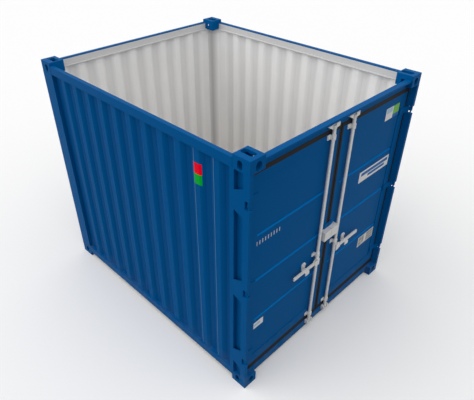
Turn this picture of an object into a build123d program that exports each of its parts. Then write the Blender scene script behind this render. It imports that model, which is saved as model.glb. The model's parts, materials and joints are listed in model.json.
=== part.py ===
"""Ten-foot steel storage container, open at the top, with two hinged door leaves.

Lengths are in millimetres. X runs along the container and points out of the door end,
Y runs across it and Z points up. The origin is at the middle of the base.
A "depth" is measured from the door end inwards, an "inset" from a long side inwards,
and a "setback" from the blind end inwards. The left side is the one at negative Y.
"""

import os
from math import atan2, cos, hypot, tan

from build123d import *

# Overall size over the corner castings
LENGTH = 2991.0
WIDTH = 2438.0
HEIGHT = 2591.0

# Corner castings and their apertures
CASTING_LENGTH = 178.0
CASTING_WIDTH = 162.0
CASTING_HEIGHT = 118.0
CASTING_WALL = 16.0
CASTING_PLATE = 28.5
CASTING_CAP = 8.0
CASTING_EDGE_RADIUS = 4.0
APERTURE_FROM_END = 102.0
APERTURE_FROM_SIDE = 89.5
LOCK_SLOT_LENGTH = 124.0
LOCK_SLOT_WIDTH = 63.5
TOP_SLOT_CORNER_RADIUS = 20.0
SIDE_SLOT_HEIGHT = 79.4
SIDE_SLOT_WIDTH = 50.8
END_SLOT_WIDTH = 63.5
SIDE_SLOT_FROM_FACE = 70.0
INNER_HOLE_RADIUS = 22.0

# Door posts: a front tube that carries the hinges, an open channel and a rear tube
POST_PLATE = 6.0
POST_FRONT_WIDTH = 36.0
POST_SLANT_DEPTH = 66.0
POST_FRONT_DEPTH = 67.0
POST_CHANNEL_INSET = 40.0
POST_JAMB_INSET = 46.0
POST_CHANNEL_END = 160.0
POST_DEPTH = 206.0

# Hinges
HINGE_COUNT = 3
HINGE_END_MARGIN = 197.0
HINGE_PIN_INSET = 18.0
HINGE_PIN_RADIUS = 8.0
HINGE_PIN_PLAY = 0.3
HINGE_PIN_STAND = 3.0
KNUCKLE_RADIUS = 14.0
BLADE_HEIGHT = 66.0
KNUCKLE_HEIGHT = 42.0
KNUCKLE_ROOM = 44.0
NOTCH_HEIGHT = 80.0
NOTCH_DEPTH = 47.0
NOTCH_STEP_DEPTH = 60.0
NOTCH_STEP_INSET = 25.0
LUG_PLATE = 14.0
GUSSET_FRONT_HEIGHT = 262.0
GUSSET_REAR_HEIGHT = 178.0
BLADE_THICKNESS = 8.0
BLADE_BEND_INSET = 75.0
BLADE_END_INSET = 165.0

# Posts at the blind end
END_POST_SIDE_STRIP = 178.0
END_POST_END_STRIP = 120.0
END_POST_FLANK = 44.0

# Top rails with the inner ledge that a roof would lie on
RAIL_PLATE = 6.0
TOP_RAIL_DROP = 34.0
TOP_RAIL_WIDTH = 42.0
ROOF_LEDGE_WIDTH = 25.0

# Header over the doors, with a rain visor along its front
HEADER_DROP = 42.0
HEADER_OVERLAP = 22.0
VISOR_DEPTH = 11.0
VISOR_LIP = 20.0
BEAM_FACE_DEPTH = 63.0
BEAM_BACK_DEPTH = 125.0

# Bottom rails, sill, cross members and floor
BASE_TOP = 160.0
BOTTOM_RAIL_BOTTOM = 70.0
BOTTOM_RAIL_FLANGE = 46.0
SILL_BOTTOM = 33.0
SILL_TOP = 130.0
CROSS_MEMBER_PITCH = 330.0
CROSS_MEMBER_WIDTH = 45.0
CROSS_MEMBER_PLATE = 4.0
FLOOR_THICKNESS = 28.0
FLOOR_EDGE_GAP = 1.5

# Corrugated walls
SHEET_THICKNESS = 2.0
RIDGE_INSET = 14.0
CORRUGATION_DEPTH = 24.0
CORRUGATION_PITCH = 226.0
RIDGE_FLAT = 60.0
CORRUGATION_SLOPE = 52.0
SIDE_FIRST_VALLEY = 71.0

# Door leaves
LEAF_FACE_DEPTH = 66.0
LEAF_THICKNESS = 50.0
LEAF_PLATE = 4.0
WEEP_HOLE_RADIUS = 6.0
LEAF_HINGE_INSET = 78.0
LEAF_MEETING_GAP = 66.0
LEAF_TOP_GAP = 48.0
LEAF_BOTTOM_GAP = 35.0
LEAF_TOP_RAIL = 80.0
LEAF_BOTTOM_RAIL = 115.0
LEAF_HINGE_STILE = 95.0
LEAF_MEETING_STILE = 55.0
PANEL_RECESS = 6.0
PANEL_THICKNESS = 2.0
GROOVE_COUNT = 3
GROOVE_PITCH_SHARE = 0.2276
GROOVE_RISE = 8.0
GROOVE_DEPTH = 16.0
GROOVE_FLAT = 14.0
GROOVE_SLOPE = 8.0

# Rubber seals around the leaves
SEAL_THICKNESS = 20.0
SEAL_LIP = 5.0
SEAL_CORE = 8.0
SEAL_CLEARANCE = 5.0

# Locking bars, their guides, cams and keepers
BAR_OFFSET = 150.0
BAR_DEPTH = 43.0
BAR_RADIUS = 16.0
BAR_WALL = 3.0
BAR_PLAY = 0.5
BAR_TOP_GAP = 11.0
BAR_BOTTOM_GAP = 15.0
GUIDE_TOP_MARGIN = 27.0
GUIDE_ABOVE_HANDLE = 80.0
GUIDE_BOTTOM_MARGIN = 30.0
GUIDE_WIDTH = 120.0
GUIDE_HEIGHT = 45.0
GUIDE_CORNER_RADIUS = 8.0
GUIDE_PLATE = 6.0
SPIGOT_RADIUS = 15.0
SPIGOT_LENGTH = 44.0
SPIGOT_FLANGE = 6.0
CAM_REACH = 18.0
CAM_WIDTH = 12.0
CAM_HEIGHT = 18.0
KEEPER_SLOT = 48.0
KEEPER_BACK_PLATE = 4.0
TOP_KEEPER_RISE = 45.0
TOP_KEEPER_FRONT_DEPTH = 41.0
TOP_KEEPER_NARROW_REACH = 84.0
TOP_KEEPER_NARROW_HEIGHT = 10.0
TOP_KEEPER_WIDE_REACH = 76.0
TOP_KEEPER_WIDE_HEIGHT = 38.0
TOP_KEEPER_HEIGHT = 45.0
BOTTOM_KEEPER_WIDTH = 85.0
BOTTOM_KEEPER_FRONT_DEPTH = 25.0
BOTTOM_KEEPER_HEIGHT = 48.0
BOTTOM_KEEPER_FLOOR = 8.0

# Handles, their hubs and their catches
HANDLE_HEIGHT = 1000.0
HANDLE_END_OFFSET = 540.0
HANDLE_FRONT_DEPTH = 19.0
HANDLE_WIDTH = 38.0
HANDLE_THICKNESS = 12.0
HANDLE_TIP_RADIUS = 6.0
HANDLE_SIDE_PLAY = 1.0
HUB_RADIUS = 18.5
HUB_HEIGHT = 80.0
CHEEK_THICKNESS = 6.0
CHEEK_END_HEIGHT = 44.0
CHEEK_REACH = 68.0
CHEEK_BACK_REACH = 6.0
HANDLE_SLOT_START = 26.0
HANDLE_PIVOT_REACH = 48.0
HANDLE_PIVOT_RADIUS = 6.0
HANDLE_PIVOT_PLAY = 0.3
CATCH_OFFSET = 335.0
CATCH_WIDTH = 60.0
CATCH_RISE = 58.0
CATCH_PLATE = 6.0
CATCH_SHELF_GAP = 3.0
CATCH_FRONT_DEPTH = 10.0
CATCH_LIP = 38.0
CATCH_CORNER = 14.0

# Lock box over the meeting stiles, one half on each leaf
LOCK_BOX_WIDTH = 216.0
LOCK_BOX_BOTTOM = 1225.0
LOCK_BOX_HEIGHT = 105.0
LOCK_BOX_FRONT_DEPTH = 10.0
LOCK_BOX_PLATE = 4.0
LOCK_BOX_GAP = 6.0
COVER_PLATE_WIDTH = 128.0
COVER_PLATE_HEIGHT = 56.0
COVER_PLATE_THICKNESS = 6.0

# How far cutting shapes run past what they cut
OVERRUN = 20.0

HALF_LENGTH = LENGTH / 2
HALF_WIDTH = WIDTH / 2
POST_BOTTOM = CASTING_HEIGHT
POST_TOP = HEIGHT - CASTING_HEIGHT
TOP_RAIL_TOP = HEIGHT - TOP_RAIL_DROP
HEADER_TOP = HEIGHT - HEADER_DROP
HEADER_BOTTOM = POST_TOP - HEADER_OVERLAP
LEAF_TOP = HEADER_BOTTOM - LEAF_TOP_GAP
LEAF_BOTTOM = BASE_TOP + LEAF_BOTTOM_GAP
LEAF_MIDDLE = (LEAF_TOP + LEAF_BOTTOM) / 2
LEAF_BACK_DEPTH = LEAF_FACE_DEPTH + LEAF_THICKNESS
PANEL_DEPTH = LEAF_FACE_DEPTH + PANEL_RECESS
HINGE_RUN = LEAF_TOP - LEAF_BOTTOM - 2 * HINGE_END_MARGIN
HINGE_HEIGHTS = [
    LEAF_BOTTOM + HINGE_END_MARGIN + HINGE_RUN * index / (HINGE_COUNT - 1) for index in range(HINGE_COUNT)
]


def from_door(depth):
    """X of a place measured inwards from the door end."""
    return HALF_LENGTH - depth


def from_blind(setback):
    """X of a place measured inwards from the blind end."""
    return setback - HALF_LENGTH


def left(inset):
    """Y of a place measured inwards from the left long side."""
    return inset - HALF_WIDTH


def door_plan(points):
    """Places given by depth and inset, as X and Y at the left of the door end."""
    return [(from_door(depth), left(inset)) for depth, inset in points]


def blind_plan(points):
    """Places given by setback and inset, as X and Y at the left of the blind end."""
    return [(from_blind(setback), left(inset)) for setback, inset in points]


def block(xs, ys, zs):
    """Rectangular solid between two values on each axis."""
    size = [abs(pair[1] - pair[0]) for pair in (xs, ys, zs)]
    middle = [(pair[0] + pair[1]) / 2 for pair in (xs, ys, zs)]
    return Pos(*middle) * Box(*size)


def upright(points, low, high):
    """Prism on an XY outline, standing between two heights."""
    outline = Polyline(*[(x, y, low) for x, y in points], close=True)
    return extrude(make_face(outline), amount=high - low, dir=(0, 0, 1))


def crosswise(points, start, end):
    """Prism on an XZ outline, running along Y."""
    outline = Polyline(*[(x, start, z) for x, z in points], close=True)
    return extrude(make_face(outline), amount=end - start, dir=(0, 1, 0))


def lengthwise(points, start, end):
    """Prism on a YZ outline, running along X."""
    outline = Polyline(*[(start, y, z) for y, z in points], close=True)
    return extrude(make_face(outline), amount=end - start, dir=(1, 0, 0))


def rod(centre, direction, radius, length):
    """Round bar that starts at a centre and runs in a direction."""
    return extrude(Plane(origin=centre, z_dir=direction) * Circle(radius), amount=length)


def opposite(shape):
    """The same piece on the other long side."""
    return mirror(shape, about=Plane.XZ)


def channel(width, height, plate):
    """Outline of a channel with its web at zero, its flanges running towards positive."""
    return [
        (0, 0), (width, 0), (width, plate), (plate, plate),
        (plate, height - plate), (width, height - plate), (width, height), (0, height),
    ]


def strip(line, thickness):
    """Closed outline of a bent plate that follows a middle line."""
    half = thickness / 2
    normals = []
    for (ax, ay), (bx, by) in zip(line, line[1:]):
        run = hypot(bx - ax, by - ay)
        normals.append(((ay - by) / run, (bx - ax) / run))
    edges = []
    for index, (x, y) in enumerate(line):
        before = normals[max(index - 1, 0)]
        after = normals[min(index, len(normals) - 1)]
        reach = half * 2 / (1 + before[0] * after[0] + before[1] * after[1])
        across = ((before[0] + after[0]) / 2 * reach, (before[1] + after[1]) / 2 * reach)
        edges.append(((x + across[0], y + across[1]), (x - across[0], y - across[1])))
    return [edge[0] for edge in edges] + [edge[1] for edge in reversed(edges)]


# Corner castings


def aperture(sketch, centre, direction, along, reach):
    """Solid that cuts an aperture of a sketched shape, its long side along a given axis."""
    return extrude(Plane(origin=centre, x_dir=along, z_dir=direction) * sketch, amount=reach)


def casting(lock_sketch):
    """Hollow corner casting at the left bottom corner of the door end."""
    outer = block(
        (from_door(CASTING_LENGTH), from_door(0)),
        (left(0), left(CASTING_WIDTH)),
        (0, CASTING_HEIGHT),
    )
    outer = fillet(outer.edges(), CASTING_EDGE_RADIUS)
    cavity = block(
        (from_door(CASTING_LENGTH - CASTING_WALL), from_door(CASTING_WALL)),
        (left(CASTING_WALL), left(CASTING_WIDTH - CASTING_WALL)),
        (CASTING_PLATE, CASTING_HEIGHT - CASTING_CAP),
    )
    slot_x = from_door(APERTURE_FROM_END)
    slot_y = left(APERTURE_FROM_SIDE)
    lock_cut = aperture(
        lock_sketch, (slot_x, slot_y, -OVERRUN), (0, 0, 1), (1, 0, 0), CASTING_PLATE + 2 * OVERRUN
    )
    side_cut = aperture(
        SlotOverall(SIDE_SLOT_HEIGHT, SIDE_SLOT_WIDTH),
        (slot_x, left(-OVERRUN), SIDE_SLOT_FROM_FACE), (0, 1, 0), (0, 0, 1), CASTING_WALL + 2 * OVERRUN,
    )
    end_cut = aperture(
        SlotOverall(SIDE_SLOT_HEIGHT, END_SLOT_WIDTH),
        (from_door(-OVERRUN), slot_y, SIDE_SLOT_FROM_FACE), (-1, 0, 0), (0, 0, 1), CASTING_WALL + 2 * OVERRUN,
    )
    return outer - cavity - lock_cut - side_cut - end_cut


def bottom_casting():
    """Casting with a round-ended lock slot in its base."""
    return casting(SlotOverall(LOCK_SLOT_LENGTH, LOCK_SLOT_WIDTH))


def top_casting():
    """Casting turned over, with a squarer lock slot and a round hole in its inner cheek."""
    lower = casting(RectangleRounded(LOCK_SLOT_LENGTH, LOCK_SLOT_WIDTH, TOP_SLOT_CORNER_RADIUS))
    cheek_start = left(CASTING_WIDTH - CASTING_WALL - OVERRUN)
    lower -= rod(
        (from_door(APERTURE_FROM_END), cheek_start, SIDE_SLOT_FROM_FACE),
        (0, 1, 0), INNER_HOLE_RADIUS, CASTING_WALL + 2 * OVERRUN,
    )
    return Pos(0, 0, HEIGHT) * mirror(lower, about=Plane.XY)


def at_four_corners(piece):
    """A casting of the door end's left corner, repeated at all four corners."""
    pair = [piece, opposite(piece)]
    return pair + [mirror(one, about=Plane.YZ) for one in pair]


# Posts


def left_door_post():
    """Door post with hinge notches, lug plates and gussets across its channel."""
    outline = [
        (0, 0), (0, POST_FRONT_WIDTH), (POST_SLANT_DEPTH, POST_JAMB_INSET), (POST_DEPTH, POST_JAMB_INSET),
        (POST_DEPTH, 0), (POST_CHANNEL_END, 0), (POST_CHANNEL_END, POST_CHANNEL_INSET),
        (POST_FRONT_DEPTH, POST_CHANNEL_INSET), (POST_FRONT_DEPTH, 0),
    ]
    rear_wall = POST_FRONT_DEPTH - POST_PLATE
    front_hollow = [
        (POST_PLATE, POST_PLATE), (POST_PLATE, POST_FRONT_WIDTH - POST_PLATE),
        (rear_wall, POST_CHANNEL_INSET), (rear_wall, POST_PLATE),
    ]
    rear_hollow = [
        (POST_CHANNEL_END + POST_PLATE, POST_PLATE), (POST_DEPTH - POST_PLATE, POST_PLATE),
        (POST_DEPTH - POST_PLATE, POST_CHANNEL_INSET), (POST_CHANNEL_END + POST_PLATE, POST_CHANNEL_INSET),
    ]
    notch = [
        (-OVERRUN, -OVERRUN), (NOTCH_DEPTH, -OVERRUN), (NOTCH_DEPTH, NOTCH_STEP_INSET),
        (NOTCH_STEP_DEPTH, NOTCH_STEP_INSET), (NOTCH_STEP_DEPTH, POST_JAMB_INSET + OVERRUN),
        (-OVERRUN, POST_JAMB_INSET + OVERRUN),
    ]
    post = upright(door_plan(outline), POST_BOTTOM, POST_TOP)
    post -= upright(door_plan(front_hollow), POST_BOTTOM, POST_TOP)
    post -= upright(door_plan(rear_hollow), POST_BOTTOM, POST_TOP)
    pin_hole = HINGE_PIN_RADIUS + HINGE_PIN_PLAY
    for height in HINGE_HEIGHTS:
        low, high = height - NOTCH_HEIGHT / 2, height + NOTCH_HEIGHT / 2
        post += upright(door_plan(front_hollow), low - LUG_PLATE, high + LUG_PLATE)
        post -= upright(door_plan(notch), low, high)
        start = (from_door(HINGE_PIN_INSET), left(HINGE_PIN_INSET), low - LUG_PLATE - OVERRUN)
        post -= rod(start, (0, 0, 1), pin_hole, NOTCH_HEIGHT + 2 * (LUG_PLATE + OVERRUN))
        post += gusset(height)
    return post


def gusset(height):
    """Plate across the post's channel behind a hinge, taller towards the hinge."""
    front, rear = from_door(POST_FRONT_DEPTH), from_door(POST_CHANNEL_END)
    outline = [
        (front, height - GUSSET_FRONT_HEIGHT / 2), (front, height + GUSSET_FRONT_HEIGHT / 2),
        (rear, height + GUSSET_REAR_HEIGHT / 2), (rear, height - GUSSET_REAR_HEIGHT / 2),
    ]
    return crosswise(outline, left(0), left(POST_PLATE))


def left_hinge_pins():
    """Pins that stand in the lug plates of the door post."""
    length = NOTCH_HEIGHT + 2 * (LUG_PLATE + HINGE_PIN_STAND)
    x, y = from_door(HINGE_PIN_INSET), left(HINGE_PIN_INSET)
    return [rod((x, y, height - length / 2), (0, 0, 1), HINGE_PIN_RADIUS, length) for height in HINGE_HEIGHTS]


def left_end_post():
    """Closed folded post in the left corner of the blind end."""
    outer = [
        (0, 0), (END_POST_SIDE_STRIP, 0), (END_POST_SIDE_STRIP, END_POST_FLANK),
        (END_POST_FLANK, END_POST_END_STRIP), (0, END_POST_END_STRIP),
    ]
    slope = atan2(END_POST_END_STRIP - END_POST_FLANK, END_POST_SIDE_STRIP - END_POST_FLANK)
    thickness = POST_PLATE / cos(slope)
    far = END_POST_SIDE_STRIP - POST_PLATE
    wide = END_POST_END_STRIP - POST_PLATE
    inner = [
        (POST_PLATE, POST_PLATE), (far, POST_PLATE),
        (far, END_POST_FLANK + POST_PLATE * tan(slope) - thickness),
        (END_POST_FLANK + (POST_PLATE - thickness) / tan(slope), wide), (POST_PLATE, wide),
    ]
    solid = upright(blind_plan(outer), POST_BOTTOM, POST_TOP)
    return solid - upright(blind_plan(inner), POST_BOTTOM, POST_TOP)


# Rails


def top_rail_outlines():
    """Outer and inner outline of a top rail with its ledge, as insets and heights."""
    low, high = POST_TOP, TOP_RAIL_TOP
    reach = TOP_RAIL_WIDTH + ROOF_LEDGE_WIDTH
    outer = [
        (0, low), (reach, low), (reach, low + RAIL_PLATE), (TOP_RAIL_WIDTH, low + RAIL_PLATE),
        (TOP_RAIL_WIDTH, high), (0, high),
    ]
    inner = [
        (RAIL_PLATE, low + RAIL_PLATE), (TOP_RAIL_WIDTH - RAIL_PLATE, low + RAIL_PLATE),
        (TOP_RAIL_WIDTH - RAIL_PLATE, high - RAIL_PLATE), (RAIL_PLATE, high - RAIL_PLATE),
    ]
    return outer, inner


def left_top_rail():
    """Top rail along the left side, between the castings."""
    outer, inner = [[(left(inset), z) for inset, z in line] for line in top_rail_outlines()]
    ends = from_blind(CASTING_LENGTH), from_door(CASTING_LENGTH)
    return lengthwise(outer, *ends) - lengthwise(inner, *ends)


def end_top_rail():
    """Top rail across the blind end, between the castings."""
    outer, inner = [[(from_blind(setback), z) for setback, z in line] for line in top_rail_outlines()]
    ends = left(CASTING_WIDTH), -left(CASTING_WIDTH)
    return crosswise(outer, *ends) - crosswise(inner, *ends)


def corner_space(xs, zs):
    """Room for the castings at both ends of a beam that runs between the posts."""
    reach = HALF_WIDTH + OVERRUN
    inner = HALF_WIDTH - CASTING_WIDTH
    return [block(xs, (side * inner, side * reach), zs) for side in (1, -1)]


def door_header():
    """Header over the leaves: rain visor, web and a box that ends in the roof ledge."""
    web_back = BEAM_FACE_DEPTH + RAIL_PLATE
    box_top = POST_TOP + RAIL_PLATE
    outline = [
        (VISOR_DEPTH, HEADER_TOP - VISOR_LIP), (VISOR_DEPTH, HEADER_TOP), (web_back, HEADER_TOP),
        (web_back, box_top), (BEAM_BACK_DEPTH, box_top), (BEAM_BACK_DEPTH, HEADER_BOTTOM),
        (BEAM_FACE_DEPTH, HEADER_BOTTOM), (BEAM_FACE_DEPTH, HEADER_TOP - RAIL_PLATE),
        (VISOR_DEPTH + RAIL_PLATE, HEADER_TOP - RAIL_PLATE),
        (VISOR_DEPTH + RAIL_PLATE, HEADER_TOP - VISOR_LIP),
    ]
    hollow = [
        (web_back, HEADER_BOTTOM + RAIL_PLATE), (web_back, POST_TOP),
        (BEAM_BACK_DEPTH - RAIL_PLATE, POST_TOP),
        (BEAM_BACK_DEPTH - RAIL_PLATE, HEADER_BOTTOM + RAIL_PLATE),
    ]
    ends = left(POST_JAMB_INSET), -left(POST_JAMB_INSET)
    beam = crosswise([(from_door(depth), z) for depth, z in outline], *ends)
    beam -= crosswise([(from_door(depth), z) for depth, z in hollow], *ends)
    xs = (from_door(-OVERRUN), from_door(BEAM_BACK_DEPTH + OVERRUN))
    for space in corner_space(xs, (POST_TOP, HEIGHT)):
        beam -= space
    return beam


def door_sill():
    """Closed sill under the leaves."""
    xs = (from_door(BEAM_BACK_DEPTH), from_door(BEAM_FACE_DEPTH))
    ends = (left(POST_JAMB_INSET), -left(POST_JAMB_INSET))
    sill = block(xs, ends, (SILL_BOTTOM, SILL_TOP))
    sill -= block(
        (xs[0] + RAIL_PLATE, xs[1] - RAIL_PLATE), ends, (SILL_BOTTOM + RAIL_PLATE, SILL_TOP - RAIL_PLATE)
    )
    for space in corner_space((xs[0] - OVERRUN, xs[1] + OVERRUN), (0, CASTING_HEIGHT)):
        sill -= space
    return sill


def bottom_rail_outline():
    """Channel of the bottom rails, opening inwards, as insets and heights."""
    outline = channel(BOTTOM_RAIL_FLANGE, BASE_TOP - BOTTOM_RAIL_BOTTOM, RAIL_PLATE)
    return [(inset, BOTTOM_RAIL_BOTTOM + z) for inset, z in outline]


def left_bottom_rail():
    """Bottom rail along the left side, stepped under the foot of the door post."""
    outline = [(left(inset), z) for inset, z in bottom_rail_outline()]
    rail = lengthwise(outline, from_blind(CASTING_LENGTH), from_door(CASTING_LENGTH))
    return rail - block(
        (from_door(POST_DEPTH), from_door(0)),
        (left(-OVERRUN), left(BOTTOM_RAIL_FLANGE + OVERRUN)),
        (POST_BOTTOM, BASE_TOP + OVERRUN),
    )


def end_bottom_rail():
    """Bottom rail across the blind end, between the feet of the posts."""
    outline = [(from_blind(setback), z) for setback, z in bottom_rail_outline()]
    rail = crosswise(outline, left(END_POST_END_STRIP), -left(END_POST_END_STRIP))
    xs = (from_blind(-OVERRUN), from_blind(BOTTOM_RAIL_FLANGE + OVERRUN))
    for space in corner_space(xs, (0, CASTING_HEIGHT)):
        rail -= space
    return rail


# Floor

FLOOR_BOTTOM = BASE_TOP - FLOOR_THICKNESS


def cross_members():
    """Channels that carry the floor, lying in the bottom rails."""
    low = BOTTOM_RAIL_BOTTOM + RAIL_PLATE
    reach = HALF_WIDTH - RAIL_PLATE
    first = from_blind(CASTING_LENGTH + CROSS_MEMBER_WIDTH)
    last = from_door(CASTING_LENGTH + 2 * CROSS_MEMBER_WIDTH)
    spaces = round((last - first) / CROSS_MEMBER_PITCH)
    section = channel(CROSS_MEMBER_WIDTH, FLOOR_BOTTOM - low, CROSS_MEMBER_PLATE)
    members = []
    for index in range(spaces + 1):
        start = first + (last - first) * index / spaces
        members.append(crosswise([(start + x, low + z) for x, z in section], -reach, reach))
    return members


def floor_panel():
    """Plywood floor between the rails, cut round the posts of the blind end."""
    edge = BOTTOM_RAIL_FLANGE + FLOOR_EDGE_GAP
    zs = (FLOOR_BOTTOM, BASE_TOP)
    floor = block(
        (from_blind(edge), from_door(BEAM_BACK_DEPTH + FLOOR_EDGE_GAP)), (left(edge), -left(edge)), zs
    )
    for side in (1, -1):
        floor -= block(
            (from_blind(0), from_blind(END_POST_SIDE_STRIP + FLOOR_EDGE_GAP)),
            (side * left(0), side * left(END_POST_END_STRIP + FLOOR_EDGE_GAP)),
            zs,
        )
    return floor


# Corrugated walls


def corrugation(start, end, first_valley):
    """Outer line of a corrugated sheet, as places along it and insets."""
    valley = RIDGE_INSET + CORRUGATION_DEPTH
    foot = RIDGE_FLAT / 2 + CORRUGATION_SLOPE
    middle = start + first_valley + foot
    line = [(start, valley)]
    while middle + foot < end:
        line += [
            (middle - foot, valley), (middle - RIDGE_FLAT / 2, RIDGE_INSET),
            (middle + RIDGE_FLAT / 2, RIDGE_INSET), (middle + foot, valley),
        ]
        middle += CORRUGATION_PITCH
    line.append((end, valley))
    return line


def thick_line(line, thickness):
    """Closed outline of a sheet whose outer line is given."""
    return line + [(place, inset + thickness) for place, inset in reversed(line)]


def left_side_wall():
    """Corrugated sheet of the left side, between its posts and rails."""
    line = corrugation(POST_DEPTH, LENGTH - END_POST_SIDE_STRIP, SIDE_FIRST_VALLEY)
    return upright(door_plan(thick_line(line, SHEET_THICKNESS)), BASE_TOP, POST_TOP)


def end_wall():
    """Corrugated sheet of the blind end."""
    edge = HALF_WIDTH - END_POST_END_STRIP
    ridge_width = RIDGE_FLAT + 2 * CORRUGATION_SLOPE
    spaces = (2 * edge - ridge_width - (CORRUGATION_PITCH - ridge_width)) // CORRUGATION_PITCH
    first_valley = edge - (spaces * CORRUGATION_PITCH + ridge_width) / 2
    line = corrugation(-edge, edge, first_valley)
    outline = [(from_blind(setback), y) for y, setback in thick_line(line, SHEET_THICKNESS)]
    return upright(outline, BASE_TOP, POST_TOP)


# Door leaves, drawn for the left one

LEAF_OUTER_Y = left(LEAF_HINGE_INSET)
LEAF_INNER_Y = -LEAF_MEETING_GAP / 2
PANEL_OUTER_Y = LEAF_OUTER_Y + LEAF_HINGE_STILE
PANEL_INNER_Y = LEAF_INNER_Y - LEAF_MEETING_STILE
PANEL_BOTTOM = LEAF_BOTTOM + LEAF_BOTTOM_RAIL
PANEL_TOP = LEAF_TOP - LEAF_TOP_RAIL
LEAF_FACE_X = from_door(LEAF_FACE_DEPTH)
PANEL_X = from_door(PANEL_DEPTH)
BAR_X = from_door(BAR_DEPTH)
BAR_Y = -BAR_OFFSET


def around_leaf(xs, margin):
    """Block over a leaf's outline, larger by a margin on all sides."""
    ys = (LEAF_OUTER_Y - margin, LEAF_INNER_Y + margin)
    return block(xs, ys, (LEAF_BOTTOM - margin, LEAF_TOP + margin))


def around_panel(xs, margin):
    """Block over a panel's outline, larger by a margin on all sides."""
    ys = (PANEL_OUTER_Y - margin, PANEL_INNER_Y + margin)
    return block(xs, ys, (PANEL_BOTTOM - margin, PANEL_TOP + margin))


def left_leaf_frame():
    """Frame of hollow section with weep holes below and a cover plate over the lock box."""
    xs = (from_door(LEAF_BACK_DEPTH), LEAF_FACE_X)
    hollow_xs = (xs[0] + LEAF_PLATE, xs[1] - LEAF_PLATE)
    frame = around_leaf(xs, 0) - around_panel((xs[0] - OVERRUN, xs[1] + OVERRUN), 0)
    frame -= around_leaf(hollow_xs, -LEAF_PLATE) - around_panel(hollow_xs, LEAF_PLATE)
    for y in (PANEL_OUTER_Y, PANEL_INNER_Y):
        start = ((xs[0] + xs[1]) / 2, y, LEAF_BOTTOM - OVERRUN)
        frame -= rod(start, (0, 0, 1), WEEP_HOLE_RADIUS, 2 * OVERRUN)
    return frame + block(
        (LEAF_FACE_X, LEAF_FACE_X + COVER_PLATE_THICKNESS),
        (-COVER_PLATE_WIDTH / 2, -LOCK_BOX_GAP / 2),
        (LOCK_BOX_TOP, LOCK_BOX_TOP + COVER_PLATE_HEIGHT),
    )


def left_leaf_panel():
    """Sheet of a leaf with pressed grooves across it."""
    half = GROOVE_FLAT / 2
    pitch = (LEAF_TOP - LEAF_BOTTOM) * GROOVE_PITCH_SHARE
    line = [(PANEL_BOTTOM, PANEL_DEPTH)]
    for index in range(GROOVE_COUNT):
        middle = LEAF_MIDDLE + GROOVE_RISE + pitch * (index - (GROOVE_COUNT - 1) / 2)
        line += [
            (middle - half - GROOVE_SLOPE, PANEL_DEPTH), (middle - half, PANEL_DEPTH + GROOVE_DEPTH),
            (middle + half, PANEL_DEPTH + GROOVE_DEPTH), (middle + half + GROOVE_SLOPE, PANEL_DEPTH),
        ]
    line.append((PANEL_TOP, PANEL_DEPTH))
    outline = [(from_door(depth), z) for z, depth in thick_line(line, PANEL_THICKNESS)]
    return crosswise(outline, PANEL_OUTER_Y, PANEL_INNER_Y)


def left_leaf_seal():
    """Rubber seal around a leaf's frame: a core on the frame with a front and a rear lip."""
    xs = (from_door(LEAF_FACE_DEPTH + SEAL_THICKNESS), LEAF_FACE_X)
    groove_xs = (xs[0] + SEAL_LIP, xs[1] - SEAL_LIP)
    ys = (left(POST_JAMB_INSET + SEAL_CLEARANCE), -SEAL_CLEARANCE)
    zs = (SILL_TOP + SEAL_CLEARANCE, HEADER_BOTTOM - SEAL_CLEARANCE)
    seal = block(xs, ys, zs) - around_leaf((xs[0] - OVERRUN, xs[1] + OVERRUN), 0)
    return seal - (block(groove_xs, ys, zs) - around_leaf(groove_xs, SEAL_CORE))


def left_hinge_blades():
    """Cranked straps from the hinge pins onto the leaf's face, with short knuckles at their top."""
    pin = (from_door(HINGE_PIN_INSET), left(HINGE_PIN_INSET))
    seat = LEAF_FACE_DEPTH - BLADE_THICKNESS / 2
    crank = seat - BLADE_THICKNESS / 2
    line = [
        (HINGE_PIN_INSET, HINGE_PIN_INSET), (crank, crank), (seat, BLADE_BEND_INSET), (seat, BLADE_END_INSET),
    ]
    outline = door_plan(strip(line, BLADE_THICKNESS))
    bore = HINGE_PIN_RADIUS + HINGE_PIN_PLAY
    room_xs = (from_door(KNUCKLE_ROOM), from_door(-OVERRUN))
    room_ys = (left(-OVERRUN), left(KNUCKLE_ROOM))
    blades = []
    for height in HINGE_HEIGHTS:
        low, high = height - BLADE_HEIGHT / 2, height + BLADE_HEIGHT / 2
        knuckle_low = high - KNUCKLE_HEIGHT
        blade = upright(outline, low, high) - block(room_xs, room_ys, (low - OVERRUN, knuckle_low))
        blade += rod((*pin, knuckle_low), (0, 0, 1), KNUCKLE_RADIUS, KNUCKLE_HEIGHT)
        blades.append(blade - rod((*pin, low - OVERRUN), (0, 0, 1), bore, BLADE_HEIGHT + 2 * OVERRUN))
    return blades


# Locking gear, drawn for the left leaf


def bar_guide(height, seat_x):
    """Saddle that holds a locking bar against the leaf."""
    bore = BAR_RADIUS + BAR_PLAY
    saddle = bore + GUIDE_PLATE
    low, high = height - GUIDE_HEIGHT / 2, height + GUIDE_HEIGHT / 2
    seat = Plane(origin=(seat_x, BAR_Y, height), x_dir=(0, 1, 0), z_dir=(1, 0, 0))
    ears = RectangleRounded(GUIDE_WIDTH, GUIDE_HEIGHT, GUIDE_CORNER_RADIUS)
    guide = extrude(seat * ears, amount=GUIDE_PLATE)
    guide += block((seat_x, BAR_X), (BAR_Y - saddle, BAR_Y + saddle), (low, high))
    guide += rod((BAR_X, BAR_Y, low), (0, 0, 1), saddle, GUIDE_HEIGHT)
    guide -= rod((BAR_X, BAR_Y, low - OVERRUN), (0, 0, 1), bore, GUIDE_HEIGHT + 2 * OVERRUN)
    return guide - block(
        (seat_x - OVERRUN, BAR_X), (BAR_Y - bore, BAR_Y + bore), (low - OVERRUN, high + OVERRUN)
    )


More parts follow.
